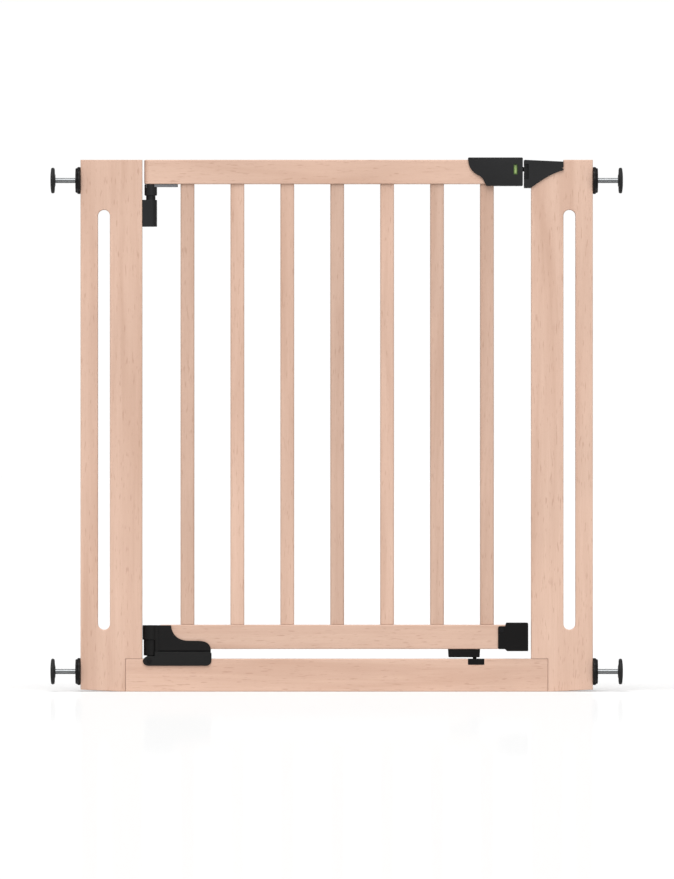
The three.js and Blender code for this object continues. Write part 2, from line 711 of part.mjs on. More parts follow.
const DARK_SCREWS = ['foot_screw_front', 'end_cap_screw'];
for (const [name, details] of Object.entries(SCREWS)) {
  const finish = DARK_SCREWS.includes(name) ? darkSteel : steel;
  place(gate, name, screw(details), finish).position.set(...details.at);
}

for (const [level, z] of [['top', SPINDLE.top], ['bottom', SPINDLE.bottom]]) {
  for (const [side, turn] of [['right', 0], ['left', Math.PI]]) {
    const spindleGroup = new THREE.Group();
    spindleGroup.position.setZ(z);
    spindleGroup.rotation.z = turn;
    frame.add(spindleGroup);
    place(spindleGroup, `handwheel_${level}_${side}`, handwheel(), blackPlastic);
    place(spindleGroup, `spindle_${level}_${side}`, spindle(), steel);
    place(spindleGroup, `wall_pad_${level}_${side}`, wallPad(), rubber);
  }
}

export default gate;
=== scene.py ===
"""The looks of the wooden baby gate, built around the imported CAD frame.

Lengths inside the shape functions are millimetres in the frame's own axes, +X to the latch side,
+Y through the gate and +Z up. build() turns them into metres.
"""

import json
import math

import bmesh
import bpy
from mathutils import Matrix, Vector


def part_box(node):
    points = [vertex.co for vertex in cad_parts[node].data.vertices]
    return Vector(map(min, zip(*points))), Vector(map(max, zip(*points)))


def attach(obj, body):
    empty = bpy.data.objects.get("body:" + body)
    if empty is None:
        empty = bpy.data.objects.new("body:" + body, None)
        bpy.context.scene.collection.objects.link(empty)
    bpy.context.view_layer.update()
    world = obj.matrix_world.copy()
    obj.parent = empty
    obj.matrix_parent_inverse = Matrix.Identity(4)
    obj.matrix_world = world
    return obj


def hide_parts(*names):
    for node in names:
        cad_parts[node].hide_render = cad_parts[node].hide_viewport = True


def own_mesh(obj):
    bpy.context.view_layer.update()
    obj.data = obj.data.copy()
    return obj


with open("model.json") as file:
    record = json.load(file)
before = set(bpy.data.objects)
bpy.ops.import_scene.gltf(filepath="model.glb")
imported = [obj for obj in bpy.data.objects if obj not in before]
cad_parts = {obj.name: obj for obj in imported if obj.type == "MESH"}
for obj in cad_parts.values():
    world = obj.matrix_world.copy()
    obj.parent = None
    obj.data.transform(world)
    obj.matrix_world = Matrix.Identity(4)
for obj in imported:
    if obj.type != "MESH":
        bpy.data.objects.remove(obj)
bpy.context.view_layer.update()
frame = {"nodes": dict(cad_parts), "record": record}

BODIES = frame["record"]["behaviour"]["bodies"]
BODY_OF = {node: body for body, nodes in BODIES.items() for node in nodes}

GAP = 0.3  # between pieces that touch
PAST = 9  # how far a cutting form reaches past the piece that it cuts
BOARD_EDGE = 1.5  # radius along the edges of the boards
PLASTIC_EDGE = 0.5  # radius along the edges of the mouldings


# ---- Camera, floor and light ----

CAMERA_DISTANCE = 14.973
CAMERA_HEIGHT = 0.3862
CAMERA_LENS = 400
BACKDROP_STRENGTH = 1.02  # what the camera sees of the studio's white
FILL_STRENGTH = 0.3  # what that white gives the gate and the floor
FLOOR_SIZE = 80


def make_camera():
    data = bpy.data.cameras.new("camera")
    data.lens = CAMERA_LENS
    data.clip_end = 200
    camera = bpy.data.objects.new("camera", data)
    camera.location = (0.0005, -CAMERA_DISTANCE, CAMERA_HEIGHT)
    camera.rotation_euler = (math.pi / 2, 0, 0)
    bpy.context.scene.collection.objects.link(camera)
    bpy.context.scene.camera = camera


def soft_sun(name, azimuth, elevation, spread, strength):
    """A wide soft light from far away. Azimuth 0 is straight in front of the gate, 90 is its right."""
    data = bpy.data.lights.new(name, "SUN")
    data.energy = strength
    data.angle = math.radians(spread)
    light = bpy.data.objects.new(name, data)
    turn, rise = math.radians(azimuth), math.radians(elevation)
    source = Vector((math.sin(turn) * math.cos(rise), -math.cos(turn) * math.cos(rise), math.sin(rise)))
    light.rotation_euler = (-source).to_track_quat("-Z", "Y").to_euler()
    bpy.context.scene.collection.objects.link(light)


def make_light():
    scene = bpy.context.scene
    scene.view_settings.view_transform = "Standard"
    world = bpy.data.worlds.new("studio")
    world.use_nodes = True
    scene.world = world
    nodes = world.node_tree.nodes
    links = world.node_tree.links
    backdrop = nodes["Background"]
    backdrop.inputs["Color"].default_value = (1, 1, 1, 1)
    backdrop.inputs["Strength"].default_value = BACKDROP_STRENGTH
    fill = nodes.new("ShaderNodeBackground")
    fill.inputs["Color"].default_value = (1, 1, 1, 1)
    fill.inputs["Strength"].default_value = FILL_STRENGTH
    seen = nodes.new("ShaderNodeLightPath")
    choose = nodes.new("ShaderNodeMixShader")
    links.new(seen.outputs["Is Camera Ray"], choose.inputs["Fac"])
    links.new(fill.outputs["Background"], choose.inputs[1])
    links.new(backdrop.outputs["Background"], choose.inputs[2])
    links.new(choose.outputs["Shader"], nodes["World Output"].inputs["Surface"])
    soft_sun("overhead_softbox", -10, 64, 44, 3.2)
    soft_sun("front_softbox", 14, 18, 60, 1.0)
    soft_sun("back_fill", 180, 15, 60, 0.9)


def make_floor():
    bm = bmesh.new()
    bmesh.ops.create_grid(bm, x_segments=2, y_segments=2, size=FLOOR_SIZE)
    mesh = bpy.data.meshes.new("floor")
    bm.to_mesh(mesh)
    bm.free()
    floor = bpy.data.objects.new("floor", mesh)
    bpy.context.scene.collection.objects.link(floor)
    material = bpy.data.materials.new("pale_floor")
    material.use_nodes = True
    nodes = material.node_tree.nodes
    links = material.node_tree.links
    nodes.remove(nodes["Principled BSDF"])
    matt = nodes.new("ShaderNodeBsdfDiffuse")
    matt.inputs["Color"].default_value = (0.7, 0.7, 0.7, 1)
    glow = nodes.new("ShaderNodeEmission")
    glow.inputs["Strength"].default_value = 0.07
    lit = nodes.new("ShaderNodeAddShader")
    gloss = nodes.new("ShaderNodeBsdfGlossy")
    gloss.inputs["Roughness"].default_value = 0.05
    mix = nodes.new("ShaderNodeMixShader")
    mix.inputs["Fac"].default_value = 0.08
    links.new(matt.outputs["BSDF"], lit.inputs[0])
    links.new(glow.outputs["Emission"], lit.inputs[1])
    links.new(lit.outputs["Shader"], mix.inputs[1])
    links.new(gloss.outputs["BSDF"], mix.inputs[2])
    links.new(mix.outputs["Shader"], nodes["Material Output"].inputs["Surface"])
    mesh.materials.append(material)


# ---- Materials ----


def linear(red, green, blue):
    """A screen colour, 0 to 255, as the linear colour that shaders take."""
    parts = [value / 255 for value in (red, green, blue)]
    return tuple(p / 12.92 if p <= 0.04045 else ((p + 0.055) / 1.055) ** 2.4 for p in parts) + (1.0,)


class Graph:
    """A material's node tree, with short calls for the nodes that these materials use."""

    def __init__(self, name):
        self.material = bpy.data.materials.new(name)
        self.material.use_nodes = True
        self.tree = self.material.node_tree
        self.shader = self.tree.nodes["Principled BSDF"]
        self.place = self.node("ShaderNodeTexCoord").outputs["Object"]

    def node(self, kind, **settings):
        made = self.tree.nodes.new(kind)
        for key, value in settings.items():
            setattr(made, key, value)
        return made

    def set(self, socket, value):
        if isinstance(value, bpy.types.NodeSocket):
            self.tree.links.new(value, socket)
        else:
            socket.default_value = value

    def mapped(self, vector, scale, location=(0, 0, 0), rotation=(0, 0, 0)):
        mapping = self.node("ShaderNodeMapping")
        self.set(mapping.inputs["Vector"], vector)
        mapping.inputs["Location"].default_value = location
        mapping.inputs["Rotation"].default_value = rotation
        mapping.inputs["Scale"].default_value = scale
        return mapping.outputs["Vector"]

    def noise(self, vector, scale, detail=2.0, roughness=0.5, distortion=0.0):
        noise = self.node("ShaderNodeTexNoise")
        self.set(noise.inputs["Vector"], vector)
        noise.inputs["Scale"].default_value = scale
        noise.inputs["Detail"].default_value = detail
        noise.inputs["Roughness"].default_value = roughness
        noise.inputs["Distortion"].default_value = distortion
        return noise.outputs["Fac"]

    def voronoi(self, vector, scale):
        cells = self.node("ShaderNodeTexVoronoi")
        self.set(cells.inputs["Vector"], vector)
        cells.inputs["Scale"].default_value = scale
        return cells.outputs["Distance"]

    def spread(self, value, low, high, to_low, to_high):
        spread = self.node("ShaderNodeMapRange")
        self.set(spread.inputs["Value"], value)
        spread.inputs["From Min"].default_value = low
        spread.inputs["From Max"].default_value = high
        spread.inputs["To Min"].default_value = to_low
        spread.inputs["To Max"].default_value = to_high
        return spread.outputs["Result"]

    def ramp(self, value, *stops):
        ramp = self.node("ShaderNodeValToRGB")
        self.set(ramp.inputs["Fac"], value)
        elements = ramp.color_ramp.elements
        for element, (position, color) in zip(elements, (stops[0], stops[-1])):
            element.position = position
            element.color = color
        for position, color in stops[1:-1]:
            elements.new(position).color = color
        return ramp.outputs["Color"]

    def mix(self, factor, first, second, blend="MIX"):
        mix = self.node("ShaderNodeMix", data_type="RGBA", blend_type=blend)
        self.set(mix.inputs[0], factor)
        self.set(mix.inputs[6], first)
        self.set(mix.inputs[7], second)
        return mix.outputs[2]

    def math(self, operation, first, second):
        result = self.node("ShaderNodeMath", operation=operation)
        self.set(result.inputs[0], first)
        self.set(result.inputs[1], second)
        return result.outputs["Value"]

    def color(self, value):
        self.set(self.shader.inputs["Base Color"], value)

    def roughness(self, value):
        self.set(self.shader.inputs["Roughness"], value)

    def bump(self, height, distance, strength=1.0):
        bump = self.node("ShaderNodeBump")
        bump.inputs["Distance"].default_value = distance
        bump.inputs["Strength"].default_value = strength
        self.set(bump.inputs["Height"], height)
        self.set(self.shader.inputs["Normal"], bump.outputs["Normal"])


BEECH_LIGHT = linear(204, 173, 154.5)
BEECH_MID = linear(198, 166, 147.5)
BEECH_DARK = linear(187, 153.5, 134.5)
BEECH_FLECK = linear(166, 130, 111)
ACROSS_TO_UP = (0, math.pi / 2, 0)  # turns a grain that runs along X into one along Z


def beech(name, seed, tone=1.0, lying=False):
    """Lacquered beech: long soft figure, fine fibres, and the short dark flecks of its rays."""
    graph = Graph(name)
    turn = ACROSS_TO_UP if lying else (0, 0, 0)
    grain = graph.mapped(graph.place, (1, 1, 1), (seed * 0.37, seed * 0.91, seed * 1.73), turn)
    figure = graph.noise(graph.mapped(grain, (34, 34, 2.2)), 1.0, 3.0, 0.55, 0.6)
    clouds = graph.noise(graph.mapped(grain, (6, 6, 5)), 1.0, 2.0)
    fibres = graph.noise(graph.mapped(grain, (620, 620, 16)), 1.0, 3.0, 0.6)
    flecks = graph.noise(graph.mapped(grain, (470, 470, 62)), 1.0, 1.0, 0.4)
    pores = graph.noise(graph.mapped(grain, (1900, 1900, 120)), 1.0, 1.0)
    figured = graph.ramp(figure, (0.3, BEECH_DARK), (0.5, BEECH_MID), (0.72, BEECH_LIGHT))
    fibrous = graph.mix(graph.spread(fibres, 0.35, 0.7, 0.0, 0.34), figured, BEECH_DARK)
    flecked = graph.mix(graph.spread(flecks, 0.64, 0.74, 0.0, 0.5), fibrous, BEECH_FLECK)
    pored = graph.mix(graph.spread(pores, 0.62, 0.75, 0.0, 0.25), flecked, BEECH_FLECK)
    brightness = graph.math("MULTIPLY", graph.spread(clouds, 0.3, 0.7, 0.955, 1.03), tone)
    shade = graph.node("ShaderNodeCombineColor")
    for socket in shade.inputs:
        graph.set(socket, brightness)
    graph.color(graph.mix(1.0, pored, shade.outputs["Color"], "MULTIPLY"))
    graph.roughness(graph.spread(fibres, 0.3, 0.7, 0.5, 0.62))
    graph.shader.inputs["Specular IOR Level"].default_value = 0.32
    relief = graph.math("SUBTRACT", fibres, graph.spread(flecks, 0.62, 0.76, 0.0, 0.5))
    graph.bump(relief, 0.00006)
    return graph.material


def moulded_plastic(name, color, gloss, roughness=0.42, grain=5200):
    """Black plastic with a fine spark-eroded texture, a trace of flow marks and soft gloss changes."""
    graph = Graph(name)
    texture = graph.noise(graph.place, grain, 2.0, 0.6)
    flow = graph.noise(graph.mapped(graph.place, (22, 40, 55)), 1.0, 3.0, 0.6, 0.4)
    darker = tuple(value * 0.8 for value in color[:3]) + (1.0,)
    graph.color(graph.mix(graph.spread(flow, 0.3, 0.7, 0, 1), darker, color))
    graph.roughness(graph.spread(flow, 0.3, 0.7, roughness - 0.05, roughness + 0.07))
    graph.shader.inputs["Specular IOR Level"].default_value = gloss
    graph.bump(texture, 0.00002, 0.6)
    return graph.material


def plated_steel(name, color, roughness=0.28):
    """Zinc-plated steel: a slightly mottled plate with fine turning lines."""
    graph = Graph(name)
    mottle = graph.noise(graph.place, 260, 3.0, 0.6)
    lines = graph.noise(graph.mapped(graph.place, (2600, 300, 300)), 1.0, 2.0)
    duller = tuple(value * 0.72 for value in color[:3]) + (1.0,)
    graph.color(graph.mix(graph.spread(mottle, 0.3, 0.7, 0, 1), duller, color))
    graph.roughness(graph.spread(mottle, 0.3, 0.7, roughness - 0.06, roughness + 0.1))
    graph.shader.inputs["Metallic"].default_value = 1.0
    graph.bump(lines, 0.000008, 0.5)
    return graph.material


def moulded_rubber(name):
    """Matt black rubber with a fine dusty grain."""
    graph = Graph(name)
    dust = graph.noise(graph.place, 900, 4.0, 0.65)
    fine = graph.noise(graph.place, 4200, 2.0)
    graph.color(graph.ramp(dust, (0.3, linear(8, 8, 8)), (0.75, linear(19, 19, 19))))
    graph.roughness(graph.spread(dust, 0.3, 0.7, 0.62, 0.8))
    graph.shader.inputs["Specular IOR Level"].default_value = 0.35
    graph.bump(fine, 0.00003, 0.7)
    return graph.material


def green_plastic(name):
    """The light green of the lock indicator, with painted shade: a deeper green towards the rim of its
    window, where the window's walls would shade it.
    """
    graph = Graph(name)
    flow = graph.noise(graph.place, 180, 3.0, 0.6)
    middle = graph.node("ShaderNodeVectorMath", operation="SUBTRACT")
    graph.set(middle.inputs[0], graph.node("ShaderNodeTexCoord").outputs["Generated"])
    middle.inputs[1].default_value = (0.5, 0.5, 0.5)
    axes = graph.node("ShaderNodeSeparateXYZ")
    graph.set(axes.inputs[0], middle.outputs[0])
    aside = graph.math("ABSOLUTE", axes.outputs["X"], 0.0)
    above = graph.math("ABSOLUTE", axes.outputs["Z"], 0.0)
    # Painted shade: the pane turns deep green near the window's sides and ends, in place of the shade
    # that the window's walls cast.
    side_painted_shade = graph.spread(aside, 0.1, 0.25, 0, 1)
    end_painted_shade = graph.spread(above, 0.27, 0.37, 0, 1)
    rim = graph.math("MAXIMUM", side_painted_shade, end_painted_shade)
    light = graph.ramp(flow, (0.3, linear(136, 164, 92)), (0.7, linear(150, 174, 108)))
    # The deep green mixed in here is painted shade, not the pane's own colour.
    graph.color(graph.mix(rim, light, linear(58, 84, 30)))
    graph.roughness(graph.spread(flow, 0.3, 0.7, 0.25, 0.35))
    graph.shader.inputs["Specular IOR Level"].default_value = 0.25
    graph.bump(graph.noise(graph.place, 3600, 2.0), 0.00001, 0.5)
    return graph.material


# ---- Shapes ----


def bezier(start, control_a, control_b, end, steps=12):
    """Points along a cubic curve, without its start."""
    points = []
    for i in range(1, steps + 1):
        t = i / steps
        weights = ((1 - t) ** 3, 3 * t * (1 - t) ** 2, 3 * t * t * (1 - t), t ** 3)
        knots = (start, control_a, control_b, end)
        points.append(tuple(sum(w * k[axis] for w, k in zip(weights, knots)) for axis in (0, 1)))
    return points


def arc(centre, radius, start, end, steps=12):
    """Points along a round or elliptic arc, in degrees, with both ends."""
    wide, tall = radius if isinstance(radius, tuple) else (radius, radius)
    angles = [math.radians(start + (end - start) * i / steps) for i in range(steps + 1)]
    return [(centre[0] + wide * math.cos(a), centre[1] + tall * math.sin(a)) for a in angles]


def rectangle(left, right, low, high):
    return [(left, low), (right, low), (right, high), (left, high)]


def widened(span):
    """The span with the gap between touching pieces added at both ends."""
    return (span[0] - GAP, span[1] + GAP)


def rounded(points, radius, steps=5):
    """The outline with its corners rounded. A radius may be one number or one for each corner."""
    radii = radius if isinstance(radius, (list, tuple)) else [radius] * len(points)
    result = []
    for i, (x, y) in enumerate(points):
        if radii[i] <= 0:
            result.append((x, y))
            continue
        corner = Vector((x, y))
        before = (Vector(points[i - 1]) - corner).normalized()
        after = (Vector(points[(i + 1) % len(points)]) - corner).normalized()
        half = before.angle(after) / 2
        reach = radii[i] / math.tan(half)
        centre = corner + (before + after).normalized() * (radii[i] / math.sin(half))
        first = corner + before * reach - centre
        last = corner + after * reach - centre
        turn = math.atan2(first.x * last.y - first.y * last.x, first.dot(last))
        for k in range(steps + 1):
            spun = Matrix.Rotation(turn * k / steps, 2) @ first
            result.append(tuple(centre + spun))
    return result


def without_repeats(points, nearest=0.02):
    kept = []
    for point in points:
        if not kept or (Vector(point) - Vector(kept[-1])).length > nearest:
            kept.append(point)
    if (Vector(kept[0]) - Vector(kept[-1])).length <= nearest:
        kept.pop()
    return kept


def signed_area(points):
    return sum(a[0] * b[1] - b[0] * a[1] for a, b in zip(points, points[1:] + points[:1])) / 2


def moved_in(points, distance):
    """The outline moved towards its material, which lies on its left, by distance."""
    result = []
    for i, point in enumerate(points):
        here = Vector(point)
        before = (here - Vector(points[i - 1])).normalized()
        after = (Vector(points[(i + 1) % len(points)]) - here).normalized()
        inward = Vector((-before.y - after.y, before.x + after.x)).normalized()
        lean = max(inward.dot(Vector((-after.y, after.x))), 0.4)
        result.append(here + inward * (distance / lean))
    return result


AXES = {
    "x": lambda u, v, h: (h, u, v),
    "y": lambda u, v, h: (u, h, v),
    "z": lambda u, v, h: (u, v, h),
}


def edge_rings(low, high, low_edge, high_edge, steps):
    """(inset, height) pairs up the side of a prism whose ends have rounded edges."""
    rings = []
    if low_edge > 0:
        for k in range(steps):
            angle = math.pi / 2 * k / steps
            rings.append((low_edge * (1 - math.sin(angle)), low + low_edge * (1 - math.cos(angle))))
    rings.append((0, low + low_edge))
    rings.append((0, high - high_edge))
    if high_edge > 0:
        for k in range(1, steps + 1):
            angle = math.pi / 2 * k / steps
            rings.append((high_edge * (1 - math.cos(angle)), high - high_edge * (1 - math.sin(angle))))
    return rings


def prism(axis, outline, span, edges=(0, 0), holes=(), steps=4):
    """A solid with that outline across an axis and that span along it, its end edges rounded."""
    bm = bmesh.new()
    loops = []
    for points, is_hole in [(outline, False)] + [(hole, True) for hole in holes]:
        points = without_repeats(points)
        if (signed_area(points) < 0) != is_hole:
            points = points[::-1]
        loops.append(points)
    rings = edge_rings(span[0], span[1], edges[0], edges[1], steps)
    end_edges = ([], [])
    for points in loops:
        levels = []
        for inset, height in rings:
            ring = moved_in(points, inset) if inset > 0 else points
            levels.append([bm.verts.new(AXES[axis](p[0], p[1], height)) for p in ring])
        count = len(points)
        for lower, upper in zip(levels, levels[1:]):
            for i in range(count):
                j = (i + 1) % count
                bm.faces.new((lower[i], lower[j], upper[j], upper[i]))
        for end, level in ((0, levels[0]), (1, levels[-1])):
            sides = [(level[i], level[(i + 1) % count]) for i in range(count)]
            end_edges[end].extend(bm.edges.get(side) for side in sides)
            if len(loops) == 1:
                bm.faces.new(level)
    if len(loops) > 1:
        for edge_loop in end_edges:
            bmesh.ops.triangle_fill(bm, use_beauty=True, edges=edge_loop)
    bmesh.ops.recalc_face_normals(bm, faces=bm.faces)
    return bm


def block(x, y, z, edge=0.0):
    end_edge = 0.6 * edge
    return prism("z", rounded(rectangle(*x, *y), edge), z, (end_edge, end_edge), steps=2)


def turned(profile, segments=48, ripple=None):
    """A solid turned about Z from (radius, height) points. ripple(angle, radius) changes the radius."""
    bm = bmesh.new()
    rings = []
    for radius, height in profile:
        if radius < 1e-6:
            rings.append([bm.verts.new((0, 0, height))])
            continue
        ring = []
        for i in range(segments):
            angle = 2 * math.pi * i / segments
            reach = ripple(angle, radius) if ripple else radius
            ring.append(bm.verts.new((reach * math.cos(angle), reach * math.sin(angle), height)))
        rings.append(ring)
    for lower, upper in zip(rings, rings[1:]):
        join_rings(bm, lower, upper)
    if len(rings[0]) > 1:
        join_rings(bm, rings[-1], rings[0])
    bmesh.ops.recalc_face_normals(bm, faces=bm.faces)
    return bm


def cylinder(radius, low, high, segments):
    return turned([(0, low), (radius, low), (radius, high), (0, high)], segments)


def join_rings(bm, lower, upper):
    count = max(len(lower), len(upper))
    for i in range(count):
        j = (i + 1) % count
        if len(lower) == 1:
            bm.faces.new((lower[0], upper[j], upper[i]))
        elif len(upper) == 1:
            bm.faces.new((lower[i], lower[j], upper[0]))
        else:
            bm.faces.new((lower[i], lower[j], upper[j], upper[i]))


def between(table, height):
    """The radius at that height, from a table of (radius, height) points going up."""
    for (radius, low), (next_radius, high) in zip(table, table[1:]):
        if height <= high:
            return radius + (next_radius - radius) * max(0.0, height - low) / (high - low)
    return table[-1][0]


def threaded(envelope, root, pitch, thread_top, segments=28, samples=6):
    """A turned solid with a helical thread cut down to the root, up to thread_top."""
    low = envelope[0][1]
    count = max(2, round((thread_top - low) / pitch * samples))
    heights = [low + (thread_top - low) * k / count for k in range(count + 1)]
    heights += [height for _, height in envelope if height > thread_top + 0.01]
    bm = bmesh.new()
    rings = []
    for height in heights:
        outer = between(envelope, height)
        runs_out = min(1.0, max(0.0, (thread_top - height) / pitch))
        ring = []
        for i in range(segments):
            phase = (height / pitch - i / segments) % 1.0
            groove = max(0.0, outer - root) * max(0.0, abs(2 * phase - 1) - 0.35) / 0.65 * runs_out
            reach = outer - groove
            angle = 2 * math.pi * i / segments
            ring.append(bm.verts.new((reach * math.cos(angle), reach * math.sin(angle), height)))
        rings.append(ring)
    for lower, upper in zip(rings, rings[1:]):
        join_rings(bm, lower, upper)
    bm.faces.new(rings[0][::-1])
    bm.faces.new(rings[-1])
    bmesh.ops.recalc_face_normals(bm, faces=bm.faces)
    return bm


def placed(bm, turn=None, at=(0, 0, 0)):
    if turn:
        bmesh.ops.transform(bm, matrix=turn, verts=bm.verts)
    bmesh.ops.translate(bm, vec=Vector(at), verts=bm.verts)
    return bm


def to_object(name, bm):
    bmesh.ops.scale(bm, vec=(0.001, 0.001, 0.001), verts=bm.verts)
    mesh = bpy.data.meshes.new(name)
    bm.to_mesh(mesh)
    bm.free()
    piece = bpy.data.objects.new(name, mesh)
    bpy.context.scene.collection.objects.link(piece)
    return piece


def combined(piece, forms, operation):
    """Joins the forms to the piece, or cuts them from it, one after another."""
    tools = []
    for bm in forms:
        tool = to_object("tool", bm)
        tools.append(tool)
        modifier = piece.modifiers.new("form", "BOOLEAN")
        modifier.object = tool
        modifier.operation = operation
        modifier.solver = "EXACT"
    graph = bpy.context.evaluated_depsgraph_get()
    mesh = bpy.data.meshes.new_from_object(piece.evaluated_get(graph))
    piece.modifiers.clear()
    piece.data = mesh
    for tool in tools:
        bpy.data.objects.remove(tool)


def build(name, nodes, bm, material, joins=(), cuts=(), smooth_angle=32):
    """Makes the piece that stands for those CAD nodes, which all ride on one body."""
    piece = to_object(name, bm)
    if joins:
        combined(piece, joins, "UNION")
    if cuts:
        combined(piece, cuts, "DIFFERENCE")
    piece.data.name = name
    piece.data.materials.clear()
    piece.data.materials.append(material)
    piece.data.shade_smooth()
    piece.data.set_sharp_from_angle(angle=math.radians(smooth_angle))
    even = piece.modifiers.new("even_shading", "WEIGHTED_NORMAL")
    even.keep_sharp = True
    even.weight = 100
    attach(piece, BODY_OF[nodes[0]])
    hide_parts(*nodes)
    return piece


def box_of(node):
    """The node's (x, y, z) spans in millimetres."""
    low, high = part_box(node)
    return [(1000 * low[i], 1000 * high[i]) for i in range(3)]


# ---- Screws ----

TURNED = {
    "down": Matrix.Identity(4),
    "up": Matrix.Rotation(math.pi, 4, "X"),
    "forward": Matrix.Rotation(-math.pi / 2, 4, "X"),
    "back": Matrix.Rotation(math.pi / 2, 4, "X"),
    "left": Matrix.Rotation(math.pi / 2, 4, "Y"),
}
POINTS = {
    "base_screw": "forward",
    "bracket_screw": "left",
    "foot_screw_front": "back",
    "foot_screw_rear": "forward",
    "keep_screw": "down",
    "stop_block_screw": "down",
    "plate_screw": "up",
    "hinge_cover_screw": "forward",
    "latch_cover_screw": "forward",
    "end_cap_screw": "back",
    "stop_housing_screw": "up",
}
FRONT_SCREWS = ("foot_screw_front", "end_cap_screw")
SCREW_HEAD = 3.8  # radius
SCREW_HEAD_DEPTH = 2.4
SCREW_SHANK = 1.9  # radius
SCREW_PITCH = 1.4


def screw_names():
    return [node for node in frame["nodes"] if "_screw" in node]


def screw_facts(node):
    """Which way it points, the middle of its head's face, and its length."""
    way = next(way for prefix, way in POINTS.items() if node.startswith(prefix))
    x, y, z = box_of(node)
    middle = [(span[0] + span[1]) / 2 for span in (x, y, z)]
    axis = {"down": 2, "up": 2, "forward": 1, "back": 1, "left": 0}[way]
    span = (x, y, z)[axis]
    middle[axis] = span[0] if way in ("up", "back") else span[1]
    return way, middle, span[1] - span[0]


def screw_hole(node):
    way, middle, length = screw_facts(node)
    shank = SCREW_SHANK + GAP
    head = SCREW_HEAD + GAP
    profile = [
        (0, -length - GAP), (shank, -length), (shank, -SCREW_HEAD_DEPTH - GAP),
        (head, -GAP), (head, PAST), (0, PAST),
    ]
    return placed(turned(profile, 30), TURNED[way], middle)


def screw_holes(*prefixes):
    return [screw_hole(node) for node in screw_names() if node.startswith(prefixes)]


def cross_recess(wide, deep):
    """One arm of the cross in a screw's head, narrower at its foot."""
    bm = bmesh.new()
    bmesh.ops.create_cube(bm, size=1)
    for vert in bm.verts:
        at_foot = vert.co.z < 0
        vert.co.x *= 2 * wide * (0.5 if at_foot else 1.0)
        vert.co.y *= 0.62 if at_foot else 0.95
        vert.co.z = -deep if at_foot else 1.0
    return bm


def make_screw(node, material):
    way, middle, length = screw_facts(node)
    neck = -SCREW_HEAD_DEPTH
    envelope = [
        (0.25, -length), (SCREW_SHANK, -length + 3.2), (SCREW_SHANK, neck), (SCREW_HEAD - 0.12, -0.35),
        (SCREW_HEAD, -0.22), (SCREW_HEAD - 0.1, -0.05), (SCREW_HEAD - 0.5, 0),
    ]
    form = threaded(envelope, SCREW_SHANK - 0.5, SCREW_PITCH, neck - 0.6, 32, 5)
    turn = TURNED[way]
    recess = []
    for angle in (20, 110):
        arm_turn = turn @ Matrix.Rotation(math.radians(angle), 4, "Z")
        recess.append(placed(cross_recess(1.9, 1.6), arm_turn, middle))
    return build(node + "_fine", [node], placed(form, turn, middle), material, cuts=recess)


# ---- The wooden boards ----

SLOT_INSET = 35.8  # from a panel's outer edge to the middle of its slot
SLOT_RADIUS = 9.2
SLOT_ABOVE_FLOOR = 94.6
SLOT_BELOW_TOP = 76.6
RELIEF = 3  # how much a panel's foot rises at its outer corner
RELIEF_FROM = 33.1  # from the panel's inner edge
KEEP_FIT = 0.02  # between the keep and the panel's cut edge
ROD_BORE = 4.5  # radius
ROD_BORE_DEPTH = 20  # beyond the rod's end
TENON = (7.5, 4.5)  # half its width and half its thickness
TENON_DEPTH = 12
PIN_BORE = 3.4  # radius, in the bottom rail
BAR_TONES = (0.895, 1.0, 0.965, 0.885, 1.0, 0.9, 0.905)


def keep_line():
    """The slanting lower edge of the latch keep, from its tip down to the panel's inner edge."""
    x, _, z = box_of("latch_keep")
    tip = (x[1], z[0] + 27)
    foot = (x[0] + 11.3, z[0] + 0.6)
    return [tip] + bezier(tip, (x[0] + 46, z[0] + 23.9), (x[0] + 29, z[0] + 13.9), foot, 16)


def lap_height():
    return box_of("base_bar")[2][1]


def panel_outline():
    """The right-hand panel's front outline, as if its upper corner were whole."""
    x, _, z = box_of("right_panel")
    foot = [(x[0], z[0]), (x[0] + RELIEF_FROM, z[0]), (x[1], z[0] + RELIEF)]
    return foot + [(x[1], z[1]), (x[0], z[1])]


def keep_room():
    """The corner that is cut away from the right panel for the latch keep.

    A small tooth of wood is left standing, which fills the notch in the keep's tip.
    """
    x, _, z = box_of("right_panel")
    keep_x, _, keep_z = box_of("latch_keep")
    edge = [(u + KEEP_FIT, v - KEEP_FIT) for u, v in keep_line()]
    side, foot = keep_x[1] + KEEP_FIT, keep_z[0]
    tooth = [(side, foot + 29.8), (keep_x[1] - 3.2, foot + 30.2), (side, foot + 31.75)]
    corner = [(side, z[1] + PAST), (x[0] - PAST, z[1] + PAST), (x[0] - PAST, foot - GAP)]
    return prism("y", corner + edge[::-1] + tooth, (-30, 30))


